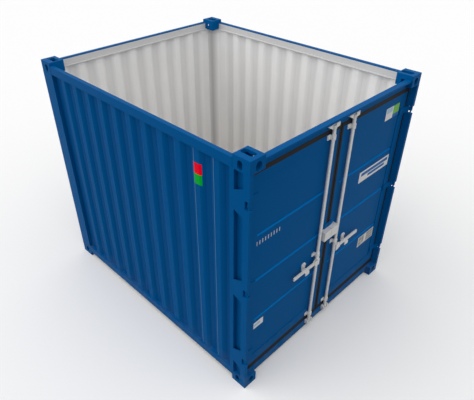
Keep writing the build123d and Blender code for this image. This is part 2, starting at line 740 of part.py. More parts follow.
def left_bar_guides():
    """The three guides of a bar: on the top rail, the panel and the bottom rail of the leaf."""
    return [
        bar_guide(LEAF_TOP - GUIDE_TOP_MARGIN, LEAF_FACE_X),
        bar_guide(HANDLE_HEIGHT + GUIDE_ABOVE_HANDLE, PANEL_X),
        bar_guide(LEAF_BOTTOM + GUIDE_BOTTOM_MARGIN, LEAF_FACE_X),
    ]


TUBE_BOTTOM = BASE_TOP - BAR_BOTTOM_GAP
TUBE_TOP = HEADER_BOTTOM - BAR_TOP_GAP


def left_lock_bar():
    """Tube that turns in the guides."""
    length = TUBE_TOP - TUBE_BOTTOM
    tube = rod((BAR_X, BAR_Y, TUBE_BOTTOM), (0, 0, 1), BAR_RADIUS, length)
    return tube - rod((BAR_X, BAR_Y, TUBE_BOTTOM), (0, 0, 1), BAR_RADIUS - BAR_WALL, length)


def left_bar_cams():
    """Spigots on both ends of a bar, each with a cam nose."""
    cams = []
    for start, way in ((TUBE_BOTTOM, -1), (TUBE_TOP, 1)):
        flange = rod((BAR_X, BAR_Y, start), (0, 0, way), BAR_RADIUS, SPIGOT_FLANGE)
        spigot = rod((BAR_X, BAR_Y, start), (0, 0, way), SPIGOT_RADIUS, SPIGOT_LENGTH)
        middle = start + way * (SPIGOT_FLANGE + SPIGOT_LENGTH) / 2
        nose = block(
            (BAR_X, BAR_X + CAM_REACH),
            (BAR_Y - CAM_WIDTH / 2, BAR_Y + CAM_WIDTH / 2),
            (middle - CAM_HEIGHT / 2, middle + CAM_HEIGHT / 2),
        )
        cams.append(flange + spigot + nose)
    return cams


def top_keeper(middle):
    """Keeper on the header: two unlike wedges beside a slot for the cam, on a back plate."""
    high = HEADER_BOTTOM + TOP_KEEPER_RISE
    half_slot = KEEPER_SLOT / 2
    low = high - TOP_KEEPER_HEIGHT
    outline = [
        (middle - TOP_KEEPER_NARROW_REACH, high), (middle + TOP_KEEPER_WIDE_REACH, high),
        (middle + TOP_KEEPER_WIDE_REACH, high - TOP_KEEPER_WIDE_HEIGHT), (middle + half_slot, low),
        (middle - half_slot, low), (middle - TOP_KEEPER_NARROW_REACH, high - TOP_KEEPER_NARROW_HEIGHT),
    ]
    face_x = from_door(BEAM_FACE_DEPTH)
    keeper = lengthwise(outline, face_x, from_door(TOP_KEEPER_FRONT_DEPTH))
    return keeper - block(
        (face_x + KEEPER_BACK_PLATE, from_door(TOP_KEEPER_FRONT_DEPTH - OVERRUN)),
        (middle - half_slot, middle + half_slot),
        (low - OVERRUN, high + OVERRUN),
    )


def bottom_keeper(middle):
    """Keeper on the sill: a pocket for the cam, open above and in front."""
    low = SILL_TOP - BOTTOM_KEEPER_HEIGHT
    face_x = from_door(BEAM_FACE_DEPTH)
    front_x = from_door(BOTTOM_KEEPER_FRONT_DEPTH)
    half = BOTTOM_KEEPER_WIDTH / 2
    half_slot = KEEPER_SLOT / 2
    keeper = block((face_x, front_x), (middle - half, middle + half), (low, SILL_TOP))
    return keeper - block(
        (face_x + KEEPER_BACK_PLATE, front_x + OVERRUN),
        (middle - half_slot, middle + half_slot),
        (low + BOTTOM_KEEPER_FLOOR, SILL_TOP + OVERRUN),
    )


HANDLE_BACK_X = from_door(HANDLE_FRONT_DEPTH + HANDLE_THICKNESS)
HANDLE_FRONT_X = from_door(HANDLE_FRONT_DEPTH)
PIVOT_Y = BAR_Y - HANDLE_PIVOT_REACH


def left_handle_hub():
    """Hub on the bar with two cheeks and the pivot pin of the handle between them."""
    low, high = HANDLE_HEIGHT - HUB_HEIGHT / 2, HANDLE_HEIGHT + HUB_HEIGHT / 2
    slot_back = HANDLE_BACK_X - HANDLE_SIDE_PLAY
    slot_front = HANDLE_FRONT_X + HANDLE_SIDE_PLAY
    cheek_xs = (slot_back - CHEEK_THICKNESS, slot_front + CHEEK_THICKNESS)
    outline = [
        (BAR_Y + CHEEK_BACK_REACH, low), (BAR_Y + CHEEK_BACK_REACH, high), (BAR_Y - HUB_RADIUS, high),
        (BAR_Y - CHEEK_REACH, HANDLE_HEIGHT + CHEEK_END_HEIGHT / 2),
        (BAR_Y - CHEEK_REACH, HANDLE_HEIGHT - CHEEK_END_HEIGHT / 2), (BAR_Y - HUB_RADIUS, low),
    ]
    hub = rod((BAR_X, BAR_Y, low), (0, 0, 1), HUB_RADIUS, HUB_HEIGHT)
    hub += lengthwise(outline, *cheek_xs)
    hub -= block(
        (slot_back, slot_front),
        (BAR_Y - CHEEK_REACH - OVERRUN, BAR_Y - HANDLE_SLOT_START),
        (low - OVERRUN, high + OVERRUN),
    )
    hub -= rod((BAR_X, BAR_Y, low - OVERRUN), (0, 0, 1), BAR_RADIUS, HUB_HEIGHT + 2 * OVERRUN)
    pivot_start = (cheek_xs[0], PIVOT_Y, HANDLE_HEIGHT)
    return hub + rod(pivot_start, (1, 0, 0), HANDLE_PIVOT_RADIUS, cheek_xs[1] - cheek_xs[0])


def left_handle():
    """Flat handle that lifts about the hub's pivot, its tip slightly rounded."""
    half = HANDLE_WIDTH / 2
    zs = (HANDLE_HEIGHT - half, HANDLE_HEIGHT + half)
    handle = block((HANDLE_BACK_X, HANDLE_FRONT_X), (-HANDLE_END_OFFSET, PIVOT_Y), zs)
    handle = fillet(handle.edges().filter_by(Axis.X).group_by(Axis.Y)[0], HANDLE_TIP_RADIUS)
    handle += rod((HANDLE_BACK_X, PIVOT_Y, HANDLE_HEIGHT), (1, 0, 0), half, HANDLE_THICKNESS)
    bore = HANDLE_PIVOT_RADIUS + HANDLE_PIVOT_PLAY
    start = (HANDLE_BACK_X - OVERRUN, PIVOT_Y, HANDLE_HEIGHT)
    return handle - rod(start, (1, 0, 0), bore, HANDLE_THICKNESS + 2 * OVERRUN)


def left_handle_catch():
    """Folded catch on the panel: back plate, shelf under the handle and a lip turned down."""
    shelf_top = HANDLE_HEIGHT - HANDLE_WIDTH / 2 - CATCH_SHELF_GAP
    front_x = from_door(CATCH_FRONT_DEPTH)
    ys = (-CATCH_OFFSET - CATCH_WIDTH / 2, -CATCH_OFFSET + CATCH_WIDTH / 2)
    outline = [
        (PANEL_X, HANDLE_HEIGHT + CATCH_RISE), (PANEL_X + CATCH_PLATE, HANDLE_HEIGHT + CATCH_RISE),
        (PANEL_X + CATCH_PLATE, shelf_top), (front_x, shelf_top), (front_x, shelf_top - CATCH_LIP),
        (front_x - CATCH_PLATE, shelf_top - CATCH_LIP), (front_x - CATCH_PLATE, shelf_top - CATCH_PLATE),
        (PANEL_X, shelf_top - CATCH_PLATE),
    ]
    catch = crosswise(outline, *ys)
    return chamfer(catch.edges().filter_by(Axis.X).group_by(Axis.Z)[-1], CATCH_CORNER)


LOCK_BOX_TOP = LOCK_BOX_BOTTOM + LOCK_BOX_HEIGHT


def left_lock_box():
    """Half of the lock box: top, front and outer plate, open below and at the middle."""
    front_x = from_door(LOCK_BOX_FRONT_DEPTH)
    outer_y, inner_y = -LOCK_BOX_WIDTH / 2, -LOCK_BOX_GAP / 2
    zs = (LOCK_BOX_BOTTOM, LOCK_BOX_TOP)
    shell = block((LEAF_FACE_X, front_x), (outer_y, inner_y), zs)
    shell += block((PANEL_X, LEAF_FACE_X), (outer_y, PANEL_INNER_Y), zs)
    return shell - block(
        (PANEL_X - OVERRUN, front_x - LOCK_BOX_PLATE),
        (outer_y + LOCK_BOX_PLATE, inner_y + OVERRUN),
        (LOCK_BOX_BOTTOM - OVERRUN, LOCK_BOX_TOP - LOCK_BOX_PLATE),
    )


# Writing


def write(name, pieces):
    """Write one node, made of one or several solids."""
    solids = []
    for piece in pieces:
        solids += piece.solids()
    export_step(solids[0] if len(solids) == 1 else Compound(solids), f"parts/{name}.step")


def write_pair(name, pieces):
    """Write the pieces of the left side and their opposites."""
    write(f"left_{name}", pieces)
    write(f"right_{name}", [opposite(piece) for piece in pieces])


def main():
    os.makedirs("parts", exist_ok=True)
    write("bottom_corner_castings", at_four_corners(bottom_casting()))
    write("top_corner_castings", at_four_corners(top_casting()))
    write_pair("door_post", [left_door_post()])
    write_pair("hinge_pins", left_hinge_pins())
    write_pair("end_post", [left_end_post()])
    write_pair("top_rail", [left_top_rail()])
    write("end_top_rail", [end_top_rail()])
    write("door_header", [door_header()])
    write_pair("bottom_rail", [left_bottom_rail()])
    write("end_bottom_rail", [end_bottom_rail()])
    write("door_sill", [door_sill()])
    write("cross_members", cross_members())
    write("floor_panel", [floor_panel()])
    write_pair("side_wall", [left_side_wall()])
    write("end_wall", [end_wall()])
    write("top_keepers", [top_keeper(BAR_Y), top_keeper(-BAR_Y)])
    write("bottom_keepers", [bottom_keeper(BAR_Y), bottom_keeper(-BAR_Y)])
    write_pair("leaf_frame", [left_leaf_frame()])
    write_pair("leaf_panel", [left_leaf_panel()])
    write_pair("leaf_seal", [left_leaf_seal()])
    write_pair("hinge_blades", left_hinge_blades())
    write_pair("bar_guides", left_bar_guides())
    write_pair("handle_catch", [left_handle_catch()])
    write_pair("lock_box", [left_lock_box()])
    write_pair("lock_bar", [left_lock_bar()])
    write_pair("bar_cams", left_bar_cams())
    write_pair("handle_hub", [left_handle_hub()])
    write_pair("handle", [left_handle()])


if __name__ == "__main__":
    main()
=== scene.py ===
# %% [markdown]
# A storage container from its solids to a picture.
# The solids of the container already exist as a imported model, so this lesson never moves
# or cuts them. It loads them as a fixed frame, paints them, and adds what is too small or
# too thin to be a solid of its own: welds, bolts, plates and stickers.

import json
import math
import random

import bmesh
import bpy
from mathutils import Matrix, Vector


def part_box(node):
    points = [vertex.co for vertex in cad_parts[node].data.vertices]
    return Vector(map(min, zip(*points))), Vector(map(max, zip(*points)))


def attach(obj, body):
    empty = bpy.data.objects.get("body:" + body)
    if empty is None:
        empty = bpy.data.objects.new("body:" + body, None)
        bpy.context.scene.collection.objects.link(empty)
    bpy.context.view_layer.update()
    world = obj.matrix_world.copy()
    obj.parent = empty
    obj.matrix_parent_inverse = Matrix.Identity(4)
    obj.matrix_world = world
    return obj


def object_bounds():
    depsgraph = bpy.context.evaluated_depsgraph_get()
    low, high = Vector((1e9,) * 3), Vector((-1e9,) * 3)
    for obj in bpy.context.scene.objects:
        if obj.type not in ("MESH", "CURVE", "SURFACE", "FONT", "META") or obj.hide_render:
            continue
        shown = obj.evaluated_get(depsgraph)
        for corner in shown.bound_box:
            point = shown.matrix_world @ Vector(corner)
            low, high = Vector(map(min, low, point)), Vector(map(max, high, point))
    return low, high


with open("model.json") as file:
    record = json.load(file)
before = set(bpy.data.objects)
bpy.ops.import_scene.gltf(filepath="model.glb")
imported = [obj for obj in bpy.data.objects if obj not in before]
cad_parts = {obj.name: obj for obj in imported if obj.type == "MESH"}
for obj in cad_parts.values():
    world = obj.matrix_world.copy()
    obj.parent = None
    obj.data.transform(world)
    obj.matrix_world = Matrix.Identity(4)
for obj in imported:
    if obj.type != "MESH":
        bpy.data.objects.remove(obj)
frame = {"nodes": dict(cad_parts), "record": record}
solid_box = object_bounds()
nodes = frame["nodes"]

# %% [markdown]
# Most places in this lesson follow from the loaded pieces. The corner castings give the
# outside of the container, and the leaves, rails and posts give their own faces. Reading
# these boxes keeps welds and films on the steel, even if a size changes.

# %% Measure the places that the rest needs
SIDES = ("left", "right")
base, top = solid_box
DOOR_X = top.x
SIDE_Y = top.y
casting_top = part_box("top_corner_castings")
leaf = {side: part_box(f"{side}_leaf_panel") for side in SIDES}
stile = {side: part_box(f"{side}_leaf_frame") for side in SIDES}
post_low, post_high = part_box("left_door_post")
end_low, end_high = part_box("left_end_post")
rail_low, rail_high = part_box("left_top_rail")
wall_low, wall_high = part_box("left_side_wall")
PANEL_FACE = leaf["right"][1].x
LEAF_BACK = stile["right"][0].x
print("outside", [round(v, 3) for v in top - base], "panel face at", round(PANEL_FACE, 4))

# %% [markdown]
# The camera stands where the photograph was taken from: off the corner between the door end
# and the left side, well above the top. A field of view can be guessed by eye, but here it
# was worked out from the container's known length, width and height, so the lens, the place
# and the small shift of the picture are plain numbers.

# %% Set up the camera
CAMERA_PLACE = Vector((3.37988, -3.28344, 4.21946))
CAMERA_TARGET = Vector((0.46732, -0.37088, 1.2955))
LENS = 36.13
SENSOR = 36.0
PICTURE_SHIFT = (0.0111, 0.01006)

camera = bpy.data.objects.new("camera", bpy.data.cameras.new("camera"))
bpy.context.scene.collection.objects.link(camera)
camera.location = CAMERA_PLACE
camera.rotation_mode = "QUATERNION"
camera.rotation_quaternion = (CAMERA_TARGET - CAMERA_PLACE).to_track_quat("-Z", "Y")
camera.data.lens = LENS
camera.data.sensor_width = SENSOR
camera.data.shift_x, camera.data.shift_y = PICTURE_SHIFT
bpy.context.scene.camera = camera
bpy.context.scene.view_settings.view_transform = "Standard"
print("camera", [round(v, 2) for v in camera.location])

# %% [markdown]
# Finishes are shaders, and a shader is a net of small nodes. Wiring them by hand takes many
# lines, so a few helpers do it. `Value` wraps a socket and turns Python sums into Math
# nodes. `Net` is any node tree, and its `add` makes a node from its type, its settings and
# what goes into its sockets.


# %% Helpers for shader maths
class Value:
    """A socket in a net that can be used in sums."""

    def __init__(self, net, socket):
        self.net = net
        self.socket = socket

    def maths(self, operation, *terms):
        return self.net.add("ShaderNodeMath", {"operation": operation}, dict(enumerate(terms)))

    def __add__(self, other):
        return self.maths("ADD", self, other)

    def __sub__(self, other):
        return self.maths("SUBTRACT", self, other)

    def __rsub__(self, other):
        return self.maths("SUBTRACT", other, self)

    def __mul__(self, other):
        return self.maths("MULTIPLY", self, other)

    def __gt__(self, other):
        return self.maths("GREATER_THAN", self, other)

    def __lt__(self, other):
        return self.maths("LESS_THAN", self, other)

    def __abs__(self):
        return self.maths("ABSOLUTE", self)

    __radd__ = __add__
    __rmul__ = __mul__


class Net:
    """A net of nodes that are made by short calls."""

    def __init__(self, tree):
        self.tree = tree

    def add(self, kind, settings=None, sockets=None, output=0):
        node = self.tree.nodes.new(kind)
        for name, setting in (settings or {}).items():
            setattr(node, name, setting)
        for name, value in (sockets or {}).items():
            self.feed(node.inputs[name], value)
        return Value(self, node.outputs[output])

    def feed(self, socket, value):
        if isinstance(value, Value):
            self.tree.links.new(value.socket, socket)
        else:
            socket.default_value = value

    def shown(self):
        """1 for light that shows the surface: straight to the camera, in gloss or in glass."""
        kinds = ("Is Camera Ray", "Is Glossy Ray", "Is Transmission Ray")
        camera, gloss, glass = (self.add("ShaderNodeLightPath", output=kind) for kind in kinds)
        return glass.maths("MAXIMUM", glass, camera.maths("MAXIMUM", camera, gloss))


print("shader maths ready")

# %% [markdown]
# `Finish` is the net of one material. Its methods are the few steps that every finish in
# this lesson is made of: where a point is, a noise, a spread between limits, a mix of two
# colours and a bump. A noise is given as its grain, which is its scale, its detail and, where
# it differs from the usual, its roughness.

# %% Helper for finishes
COLOUR_MIX = {"mask": 0, "first": 6, "second": 7, "result": 2}


class Finish(Net):
    """One material with its surface shader."""

    def __init__(self, name):
        self.material = bpy.data.materials.new(name)
        self.material.use_nodes = True
        super().__init__(self.material.node_tree)
        self.shader = self.tree.nodes["Principled BSDF"]

    def place(self):
        """The point on the piece, in the container's own frame."""
        return self.add("ShaderNodeTexCoord", output="Object")

    def parts(self, vector):
        """X, Y and Z of a vector as three values."""
        split = self.add("ShaderNodeSeparateXYZ", sockets={"Vector": vector})
        node = split.socket.node
        return [Value(self, node.outputs[axis]) for axis in ("X", "Y", "Z")]

    def noise(self, vector, scale, detail, roughness=0.5):
        sockets = {"Vector": vector, "Scale": scale, "Detail": detail, "Roughness": roughness}
        return self.add("ShaderNodeTexNoise", sockets=sockets, output="Fac")

    def stretch(self, vector, scale):
        sockets = {"Vector": vector, "Scale": scale}
        return self.add("ShaderNodeMapping", sockets=sockets)

    def ramp(self, value, low, high):
        """A value spread from 0 to 1 between two limits."""
        sockets = {"Value": value, "From Min": low, "From Max": high}
        return self.add("ShaderNodeMapRange", {"clamp": True}, sockets)

    def mix(self, mask, first, second):
        given = {"mask": mask, "first": first, "second": second}
        sockets = {COLOUR_MIX[name]: value for name, value in given.items()}
        return self.add("ShaderNodeMix", {"data_type": "RGBA"}, sockets, COLOUR_MIX["result"])

    def bump(self, height, strength, distance):
        sockets = {"Height": height, "Strength": strength, "Distance": distance}
        return self.add("ShaderNodeBump", sockets=sockets, output="Normal")

    def surface(self, **sockets):
        """Feed the shader's own sockets, named with underscores for spaces."""
        for name, value in sockets.items():
            self.feed(self.shader.inputs[name.replace("_", " ")], value)
        return self.material


def rgba(red, green, blue):
    return (red, green, blue, 1.0)


print("finish helper ready")

# %% [markdown]
# The container is blue outside and light grey inside. Paints come in pairs of colours, a clean
# one and a worn one, and each pair has a satin, which is its roughness where it is smoothest
# and where it is roughest. Dust has one colour, and the painted shade in the folds and in the
# far corners of the hold has colours of its own.

# %% Colours of the paint
BLUE = rgba(0.0, 0.089, 0.284)
BLUE_WORN = rgba(0.001, 0.099, 0.305)
BLUE_SATIN = (0.36, 0.52)
# Painted highlight: a lighter blue, with its worn copy, for the upward slopes of the grooves.
GROOVE_HIGHLIGHT_BLUE = rgba(0.0, 0.175, 0.540)
GROOVE_HIGHLIGHT_WORN = rgba(0.004, 0.190, 0.560)
GROOVE_HIGHLIGHT_SATIN = (0.45, 0.6)
INSIDE_GREY = rgba(0.92, 0.92, 0.922)
INSIDE_SCUFF = rgba(0.83, 0.83, 0.832)
INSIDE_SATIN = (0.5, 0.7)
LEDGE_GREY = rgba(0.66, 0.66, 0.662)
LEDGE_SCUFF = rgba(0.58, 0.58, 0.582)
LEDGE_SATIN = (0.55, 0.75)
DUST = rgba(0.19, 0.18, 0.165)
# Painted shade for the folds of the walls, outside and inside.
FOLD_SHADE_BLUE = rgba(0.0, 0.030, 0.130)
FOLD_SHADE_GREY = rgba(0.50, 0.50, 0.502)
# Painted shade for the far corners of the hold.
CORNER_SHADE_GREY = rgba(0.50, 0.50, 0.502)
print("blue", BLUE[:3], "grey", INSIDE_GREY[:3])

# %% [markdown]
# Sprayed paint is never quite flat: a fine orange-peel ripples the highlights, broad patches
# are a touch lighter, fine upright scuffs cross them, and dust gathers near the ground. A
# plain colour would look like plastic, and a painted image would not follow the folds, so
# each of these is a noise in the container's frame.

# %% Sprayed paint
PAINT_GLOSS = 0.02
PATCH_GRAIN = (1.7, 4.0)
PATCH_LIMITS = (0.35, 0.75)
PATCH_SHARE = 0.5
SCUFF_STRETCH = (1.0, 1.0, 0.18)
SCUFF_GRAIN = (38.0, 6.0, 0.7)
SCUFF_LIMITS = (0.62, 0.78)
SCUFF_SHARE = 0.25
SCUFF_MATT = 0.1
DUST_GRAIN = (9.0, 5.0, 0.65)
DUST_LIMITS = (0.42, 0.75)
DUST_HEIGHT = 0.35
DUST_COVER = 0.35
DUST_MATT = 0.3
PEEL_GRAIN = (260.0, 2.0)
PEEL_STRENGTH = 0.05
PEEL_DEPTH = 0.0015
FOLD_SHADE = 0.36


def broad_patches(paint, place):
    """Lighter and darker patches, about half a metre wide."""
    return paint.noise(place, *PATCH_GRAIN)


def orange_peel(paint, place):
    """The fine ripple that spraying leaves."""
    return paint.bump(paint.noise(place, *PEEL_GRAIN), PEEL_STRENGTH, PEEL_DEPTH)


def sprayed_paint(name, colour, worn, satin, fold=None):
    """Paint with broad patches, scuffs, ground dust and an orange-peel ripple.

    A fold is the axis across a corrugated sheet, the places where the paint is lightest and
    where it is darkest, and the dark colour. The darkening with depth is painted shade.
    """
    paint = Finish(name)
    place = paint.place()
    patches = broad_patches(paint, place)
    upright = paint.stretch(place, SCUFF_STRETCH)
    scuffs = paint.ramp(paint.noise(upright, *SCUFF_GRAIN), *SCUFF_LIMITS)
    low_down = paint.ramp(paint.parts(place)[2], DUST_HEIGHT, 0.0)
    dust = low_down * paint.ramp(paint.noise(place, *DUST_GRAIN), *DUST_LIMITS) * DUST_COVER
    wear = paint.ramp(patches, *PATCH_LIMITS) * PATCH_SHARE + scuffs * SCUFF_SHARE
    shade = paint.mix(wear, colour, worn)
    # Painted shade: the colour darkens towards the deep of each fold.
    if fold is not None:
        axis, lighter, shaded, shade_colour = fold
        depth = paint.ramp(paint.parts(place)[axis], lighter, shaded)
        shade = paint.mix(depth * FOLD_SHADE, shade, shade_colour)
    smooth, rough = satin
    return paint.surface(
        Base_Color=paint.mix(dust, shade, DUST),
        Roughness=smooth + (rough - smooth) * patches + dust * DUST_MATT + scuffs * SCUFF_MATT,
        Normal=orange_peel(paint, place),
        Specular_IOR_Level=PAINT_GLOSS,
    )


blue_paint = sprayed_paint("blue_paint", BLUE, BLUE_WORN, BLUE_SATIN)
grey_paint = sprayed_paint("grey_paint", INSIDE_GREY, INSIDE_SCUFF, INSIDE_SATIN)
ledge_paint = sprayed_paint("ledge_paint", LEDGE_GREY, LEDGE_SCUFF, LEDGE_SATIN)
# Painted highlight for the upward slopes of the leaves' grooves.
groove_highlight_paint = sprayed_paint("groove_highlight_paint", GROOVE_HIGHLIGHT_BLUE, GROOVE_HIGHLIGHT_WORN, GROOVE_HIGHLIGHT_SATIN)
print("paints", blue_paint.name, grey_paint.name, ledge_paint.name, groove_highlight_paint.name)

# %% [markdown]
# Each corrugated sheet gets painted shade that darkens it in its valleys, and what is a ridge
# outside is a valley inside. So each wall has a blue and a grey of its own, which both darken
# with depth.

# %% Paint on the corrugated walls
X_AXIS, Y_AXIS = 0, 1
WALLS = {"left_side_wall": (Y_AXIS, -1), "right_side_wall": (Y_AXIS, 1), "end_wall": (X_AXIS, -1)}
wall_paint, wall_inside = {}, {}
for name, (axis, outwards) in WALLS.items():
    near, far = (corner[axis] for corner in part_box(name))
    ridge, valley = (near, far) if outwards < 0 else (far, near)
    # Painted shade: the blue darkens towards the valleys, the grey towards the ridges.
    outside = (axis, ridge, valley, FOLD_SHADE_BLUE)
    inside = (axis, valley, ridge, FOLD_SHADE_GREY)
    wall_paint[name] = sprayed_paint(f"blue_{name}", BLUE, BLUE_WORN, BLUE_SATIN, outside)
    wall_inside[name] = sprayed_paint(
        f"grey_{name}", INSIDE_GREY, INSIDE_SCUFF, INSIDE_SATIN, inside
    )
print("wall paints", sorted(wall_paint))

# %% [markdown]
# The lock gear is dipped in molten zinc. As the zinc cools it freezes into flat crystals,
# the spangle, and each one catches the light its own way. A Voronoi pattern gives every
# crystal a cell with its own brightness and roughness, which is close to how it grows.
# With the years a dull bloom spreads over it.

# %% Galvanised steel
ZINC_DARK = rgba(0.63, 0.630, 0.630)
ZINC_LIGHT = rgba(0.81, 0.810, 0.810)
ZINC_METAL = 0.22
ZINC_ROUGHNESS = 0.42
SPANGLE_SCALE = 85.0
SPANGLE_SHARE = 0.55
SPANGLE_MATT = 0.12
BLOOM_GRAIN = (14.0, 5.0, 0.6)
BLOOM_LIMITS = (0.4, 0.75)
BLOOM_SHARE = 0.45
BLOOM_MATT = 0.14
BLOOM_DULLS = 0.14
DIP_GRAIN = (120.0, 3.0)
DIP_STRENGTH = 0.06
DIP_DEPTH = 0.001


def galvanised_steel():
    zinc = Finish("galvanised")
    place = zinc.place()
    sockets = {"Vector": place, "Scale": SPANGLE_SCALE}
    cells = zinc.add("ShaderNodeTexVoronoi", sockets=sockets, output="Color")
    spangle = zinc.parts(cells)[0]
    bloom = zinc.ramp(zinc.noise(place, *BLOOM_GRAIN), *BLOOM_LIMITS)
    tone = spangle * SPANGLE_SHARE + bloom * BLOOM_SHARE
    return zinc.surface(
        Base_Color=zinc.mix(tone, ZINC_DARK, ZINC_LIGHT),
        Metallic=ZINC_METAL - bloom * BLOOM_DULLS,
        Roughness=ZINC_ROUGHNESS + spangle * SPANGLE_MATT + bloom * BLOOM_MATT,
        Normal=zinc.bump(zinc.noise(place, *DIP_GRAIN), DIP_STRENGTH, DIP_DEPTH),
    )


galvanised = galvanised_steel()
print("zinc", galvanised.name)

# %% [markdown]
# The seals are extruded rubber: black, matt, and greyed a little by dust.

# %% Rubber
RUBBER_BLACK = rgba(0.009, 0.009, 0.010)
RUBBER_GREYED = rgba(0.035, 0.034, 0.033)
RUBBER_GLOSS = 0.1
RUBBER_ROUGHNESS = 0.62
GREYED_GRAIN = (22.0, 5.0, 0.65)
GREYED_LIMITS = (0.5, 0.8)
GREYED_SHARE = 0.6
GREYED_MATT = 0.2
SKIN_GRAIN = (300.0, 2.0)
SKIN_STRENGTH = 0.08
SKIN_DEPTH = 0.0008


def seal_rubber():
    rubber = Finish("rubber")
    place = rubber.place()
    greyed = rubber.ramp(rubber.noise(place, *GREYED_GRAIN), *GREYED_LIMITS)
    return rubber.surface(
        Base_Color=rubber.mix(greyed * GREYED_SHARE, RUBBER_BLACK, RUBBER_GREYED),
        Roughness=RUBBER_ROUGHNESS + greyed * GREYED_MATT,
        Normal=rubber.bump(rubber.noise(place, *SKIN_GRAIN), SKIN_STRENGTH, SKIN_DEPTH),
        Specular_IOR_Level=RUBBER_GLOSS,
    )


rubber = seal_rubber()
print("rubber", rubber.name)

# %% [markdown]
# The floor is pale plywood, laid as boards across the container, so it shows long grain,
# fine joints between the boards and worn patches. A pale floor also throws light up the
# walls.

# %% Plywood
PLY_DARK = rgba(0.480, 0.395, 0.300)
PLY_LIGHT = rgba(0.700, 0.605, 0.485)
PLY_JOINT = rgba(0.05, 0.035, 0.02)
PLY_ROUGHNESS = 0.55
BOARD_WIDTH = 0.61
JOINT_WIDTH = 0.004
JOINT_HEIGHT = -2.0
WOOD_STRETCH = (6.0, 0.6, 6.0)
WOOD_GRAIN = (14.0, 6.0, 0.6)
WOOD_LIMITS = (0.3, 0.7)
WOOD_SHARE = 0.7
WOOD_STRENGTH = 0.15
WOOD_DEPTH = 0.002
WEAR_GRAIN = (2.2, 4.0)
WEAR_LIMITS = (0.4, 0.7)
WEAR_SHARE = 0.3
WEAR_MATT = 0.2


def floor_plywood():
    ply = Finish("plywood")
    place = ply.place()
    along = ply.parts(place)[0]
    grain = ply.noise(ply.stretch(place, WOOD_STRETCH), *WOOD_GRAIN)
    wear = ply.ramp(ply.noise(place, *WEAR_GRAIN), *WEAR_LIMITS)
    joint = along.maths("PINGPONG", along, BOARD_WIDTH / 2) < JOINT_WIDTH / 2
    tone = ply.ramp(grain, *WOOD_LIMITS) * WOOD_SHARE + wear * WEAR_SHARE
    wood = ply.mix(tone, PLY_DARK, PLY_LIGHT)
    return ply.surface(
        Base_Color=ply.mix(joint, wood, PLY_JOINT),
        Roughness=PLY_ROUGHNESS + wear * WEAR_MATT,
        Normal=ply.bump(grain + joint * JOINT_HEIGHT, WOOD_STRENGTH, WOOD_DEPTH),
    )


plywood = floor_plywood()
print("plywood", plywood.name)

# %% [markdown]
# Painted pieces carry two finishes, because the container is blue outside and grey inside. A
# face is inside when it looks into the hold, which its own normal tells, so one short test
# per kind of piece is enough, and no mesh has to be cut.

# %% Tests for the faces that are grey
LOOKS_IN = 0.25
TOUCH = 0.001
RAIL_LEDGE = casting_top[0].z
LEDGE_BAND = 0.02


def looks_into_hold(place, normal):
    """True for faces of posts and rails that look at the middle of the hold."""
    inwards = -normal.y * place.y > 0 and abs(normal.y) > LOOKS_IN
    return place.x < LEAF_BACK and inwards


def towards_blind_end(place, normal):
    return normal.x < -LOOKS_IN


def towards_doors(place, normal):
    return normal.x > LOOKS_IN


def on_ledge(place, normal):
    return RAIL_LEDGE < place.z < RAIL_LEDGE + LEDGE_BAND and normal.z > LOOKS_IN


def side_rail(place, normal):
    return looks_into_hold(place, normal) or on_ledge(place, normal)


def end_rail(place, normal):
    return towards_doors(place, normal) or on_ledge(place, normal)


def header_inside(place, normal):
    on_back = towards_blind_end(place, normal) and place.x < PANEL_FACE + TOUCH
    return on_back or (on_ledge(place, normal) and place.x < PANEL_FACE)


def end_corner(place, normal):
    return looks_into_hold(place, normal) and normal.x > LOOKS_IN


INSIDE_TESTS = {"end_wall": towards_doors, "end_top_rail": end_rail, "door_header": header_inside}
for side in SIDES:
    INSIDE_TESTS[f"{side}_side_wall"] = looks_into_hold
    INSIDE_TESTS[f"{side}_leaf_panel"] = towards_blind_end
    INSIDE_TESTS[f"{side}_leaf_frame"] = towards_blind_end
    INSIDE_TESTS[f"{side}_door_post"] = looks_into_hold
    INSIDE_TESTS[f"{side}_end_post"] = end_corner
    INSIDE_TESTS[f"{side}_top_rail"] = side_rail
print("grey inside:", len(INSIDE_TESTS), "pieces")

# %% [markdown]
# The posts at the blind end have a sloped face that looks into the hold. Its grey darkens
# towards an upright line in the corner, which is painted shade.

# %% Painted shade in the far corners of the hold
POST_FLANK = 0.044
CORNER_SHADE_SHARE = 0.32
CORNER_SHADE_REACH = 0.085
CORNER_SATIN = 0.6
CORNER_SHADE_MATT = 0.2
CORNER_SHADE_MIDDLE = base.x + POST_FLANK + CORNER_SHADE_SHARE * (end_high.x - base.x - POST_FLANK)


def shaded_corner_paint():
    """Grey paint that darkens towards an upright line in a corner."""
    paint = Finish("corner_shade_paint")
    place = paint.place()
    from_middle = abs(paint.parts(place)[0] - CORNER_SHADE_MIDDLE)
    # Painted shade: darker towards the upright line of the corner.
    corner_shade = paint.ramp(from_middle, CORNER_SHADE_REACH, 0.0)
    wear = broad_patches(paint, place) * PATCH_SHARE
    return paint.surface(
        Base_Color=paint.mix(corner_shade, paint.mix(wear, INSIDE_GREY, INSIDE_SCUFF), CORNER_SHADE_GREY),
        Roughness=CORNER_SATIN + corner_shade * CORNER_SHADE_MATT,
        Normal=orange_peel(paint, place),
        Specular_IOR_Level=PAINT_GLOSS,
    )


corner_shade_paint = shaded_corner_paint()
print("corner_shade", corner_shade_paint.name)

# %% [markdown]
# Each piece of the frame takes its first finish from its material slot, and its second one,
# if it has an inside, from the test that it passes. The corrugated walls bring their own pair.

